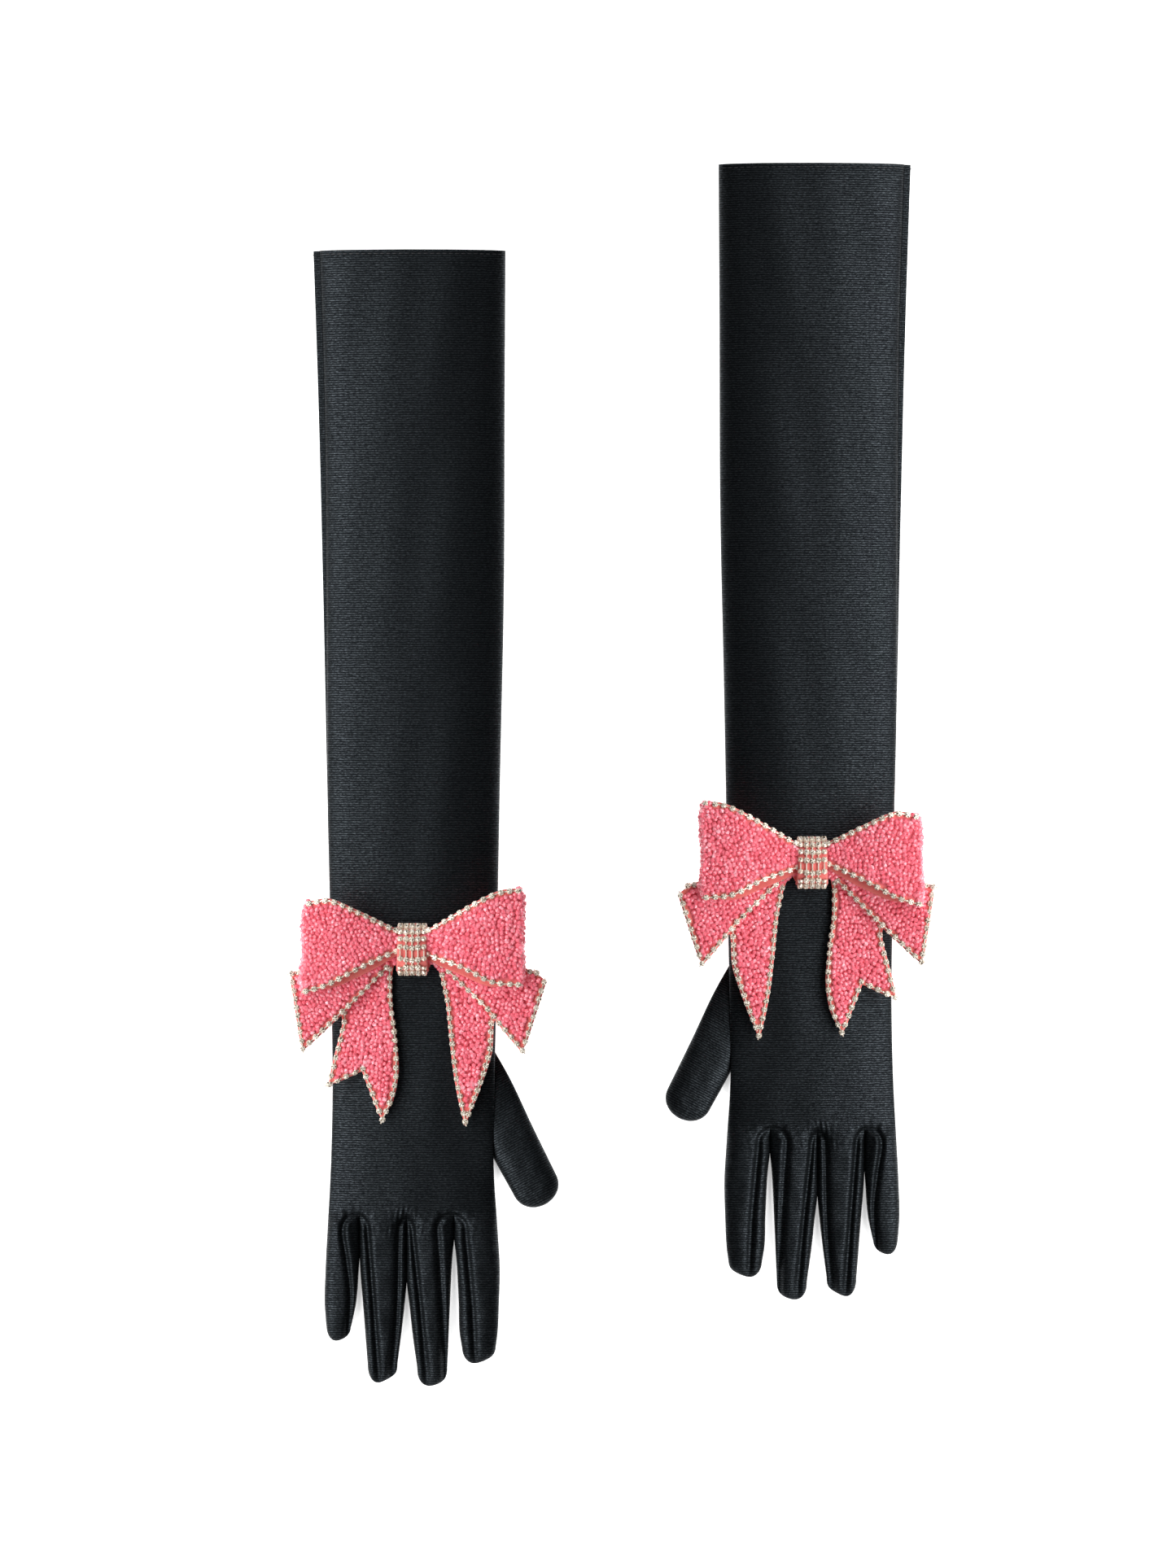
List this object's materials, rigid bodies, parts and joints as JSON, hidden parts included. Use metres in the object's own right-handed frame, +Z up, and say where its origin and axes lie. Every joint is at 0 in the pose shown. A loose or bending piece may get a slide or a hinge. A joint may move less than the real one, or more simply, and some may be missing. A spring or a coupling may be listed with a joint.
{
  "type": "opera gloves",
  "caption": "Pair of elbow-length black satin opera gloves laid flat, each with a pink crystal-beaded felt bow edged in rhinestone cup chain at the wrist.",
  "frame": {"origin": "bottom centre of the pair's bounding box, on the table that the gloves lie on", "axes": "+X from the right-hand glove to the left-hand glove, +Y towards the cuffs, +Z up through the backs of the hands"},
  "size_m": [0.315, 0.5996, 0.0336],
  "materials": {
    "black_satin": "stretch satin, fine ribs",
    "pink_beads": "faceted clear beads on felt",
    "felt": "matte salmon felt",
    "cup_chain": "polished champagne with clear stones",
    "crystal": "clear foiled rhinestone"
  },
  "bodies": {
    "right_hand": {"right_hand_and_forearm": "black_satin"},
    "right_upper_sleeve": {"right_upper_sleeve": "black_satin", "right_cuff_hem": "black_satin"},
    "right_little_finger": {"right_little_finger": "black_satin", "right_little_finger_inner_fourchette": "black_satin"},
    "right_ring_finger": {"right_ring_finger": "black_satin", "right_ring_finger_outer_fourchette": "black_satin", "right_ring_finger_inner_fourchette": "black_satin"},
    "right_middle_finger": {"right_middle_finger": "black_satin", "right_middle_finger_outer_fourchette": "black_satin", "right_middle_finger_inner_fourchette": "black_satin"},
    "right_index_finger": {"right_index_finger": "black_satin", "right_index_finger_outer_fourchette": "black_satin"},
    "right_thumb": {"right_thumb": "black_satin"},
    "right_bow": {"right_bow_backing": "felt", "right_bow_knot": "cup_chain", "right_bow_outer_tail": "pink_beads", "right_bow_outer_tail_chain": "cup_chain", "right_bow_inner_tail": "pink_beads", "right_bow_inner_tail_chain": "cup_chain", "right_bow_outer_wing": "pink_beads", "right_bow_outer_wing_chain": "cup_chain", "right_bow_inner_wing": "pink_beads", "right_bow_inner_wing_chain": "cup_chain", "right_bow_outer_loop": "pink_beads", "right_bow_outer_loop_top_chain": "cup_chain", "right_bow_outer_loop_bottom_chain": "cup_chain", "right_bow_inner_loop": "pink_beads", "right_bow_inner_loop_top_chain": "cup_chain", "right_bow_inner_loop_bottom_chain": "cup_chain"},
    "left_hand": {"left_hand_and_forearm": "black_satin"},
    "left_upper_sleeve": {"left_upper_sleeve": "black_satin", "left_cuff_hem": "black_satin"},
    "left_little_finger": {"left_little_finger": "black_satin", "left_little_finger_inner_fourchette": "black_satin"},
    "left_ring_finger": {"left_ring_finger": "black_satin", "left_ring_finger_outer_fourchette": "black_satin", "left_ring_finger_inner_fourchette": "black_satin"},
    "left_middle_finger": {"left_middle_finger": "black_satin", "left_middle_finger_outer_fourchette": "black_satin", "left_middle_finger_inner_fourchette": "black_satin"},
    "left_index_finger": {"left_index_finger": "black_satin", "left_index_finger_outer_fourchette": "black_satin"},
    "left_thumb": {"left_thumb": "black_satin"},
    "left_bow": {"left_bow_backing": "felt", "left_bow_knot": "cup_chain", "left_bow_outer_tail": "pink_beads", "left_bow_outer_tail_chain": "cup_chain", "left_bow_inner_tail": "pink_beads", "left_bow_inner_tail_chain": "cup_chain", "left_bow_outer_wing": "pink_beads", "left_bow_outer_wing_chain": "cup_chain", "left_bow_inner_wing": "pink_beads", "left_bow_inner_wing_chain": "cup_chain", "left_bow_outer_loop": "pink_beads", "left_bow_outer_loop_top_chain": "cup_chain", "left_bow_outer_loop_bottom_chain": "cup_chain", "left_bow_inner_loop": "pink_beads", "left_bow_inner_loop_top_chain": "cup_chain", "left_bow_inner_loop_bottom_chain": "cup_chain"}
  },
  "joints": [
    {"name": "right_sleeve_fold", "type": "hinge", "parent": "right_hand", "child": "right_upper_sleeve", "pos_m": [-0.0977, 0.113, 0.0132], "axis": [1, 0, 0], "range_deg": [0, 170]},
    {"name": "right_little_finger_lift", "type": "hinge", "parent": "right_hand", "child": "right_little_finger", "pos_m": [-0.1336, -0.21725, 0.0093], "axis": [-1, 0, 0], "range_deg": [0, 80]},
    {"name": "right_ring_finger_lift", "type": "hinge", "parent": "right_hand", "child": "right_ring_finger", "pos_m": [-0.1119, -0.21725, 0.0093], "axis": [-1, 0, 0], "range_deg": [0, 80]},
    {"name": "right_middle_finger_lift", "type": "hinge", "parent": "right_hand", "child": "right_middle_finger", "pos_m": [-0.0881, -0.21725, 0.0093], "axis": [-1, 0, 0], "range_deg": [0, 80]},
    {"name": "right_index_finger_lift", "type": "hinge", "parent": "right_hand", "child": "right_index_finger", "pos_m": [-0.0653, -0.21725, 0.0093], "axis": [-1, 0, 0], "range_deg": [0, 80]},
    {"name": "right_thumb_lift", "type": "hinge", "parent": "right_hand", "child": "right_thumb", "pos_m": [-0.0563, -0.165, 0.0087], "axis": [0, -1, 0], "range_deg": [0, 60]},
    {"name": "right_bow_swivel", "type": "hinge", "parent": "right_hand", "child": "right_bow", "pos_m": [-0.0975, -0.0852, 0.0124], "axis": [0, 0, 1], "range_deg": [-6, 6]},
    {"name": "left_sleeve_fold", "type": "hinge", "parent": "left_hand", "child": "left_upper_sleeve", "pos_m": [0.0977, 0.1554, 0.0132], "axis": [1, 0, 0], "range_deg": [0, 170]},
    {"name": "left_little_finger_lift", "type": "hinge", "parent": "left_hand", "child": "left_little_finger", "pos_m": [0.1336, -0.17485, 0.0093], "axis": [-1, 0, 0], "range_deg": [0, 80]},
    {"name": "left_ring_finger_lift", "type": "hinge", "parent": "left_hand", "child": "left_ring_finger", "pos_m": [0.1119, -0.17485, 0.0093], "axis": [-1, 0, 0], "range_deg": [0, 80]},
    {"name": "left_middle_finger_lift", "type": "hinge", "parent": "left_hand", "child": "left_middle_finger", "pos_m": [0.0881, -0.17485, 0.0093], "axis": [-1, 0, 0], "range_deg": [0, 80]},
    {"name": "left_index_finger_lift", "type": "hinge", "parent": "left_hand", "child": "left_index_finger", "pos_m": [0.0653, -0.17485, 0.0093], "axis": [-1, 0, 0], "range_deg": [0, 80]},
    {"name": "left_thumb_lift", "type": "hinge", "parent": "left_hand", "child": "left_thumb", "pos_m": [0.0563, -0.1226, 0.0087], "axis": [0, 1, 0], "range_deg": [0, 60]},
    {"name": "left_bow_swivel", "type": "hinge", "parent": "left_hand", "child": "left_bow", "pos_m": [0.0975, -0.0428, 0.0124], "axis": [0, 0, 1], "range_deg": [-6, 6]},
    {"name": "left_glove_lifts_off", "type": "slide", "parent": "right_hand", "child": "left_hand", "axis": [0, 0, 1], "range_m": [0, 0.15]}
  ]
}
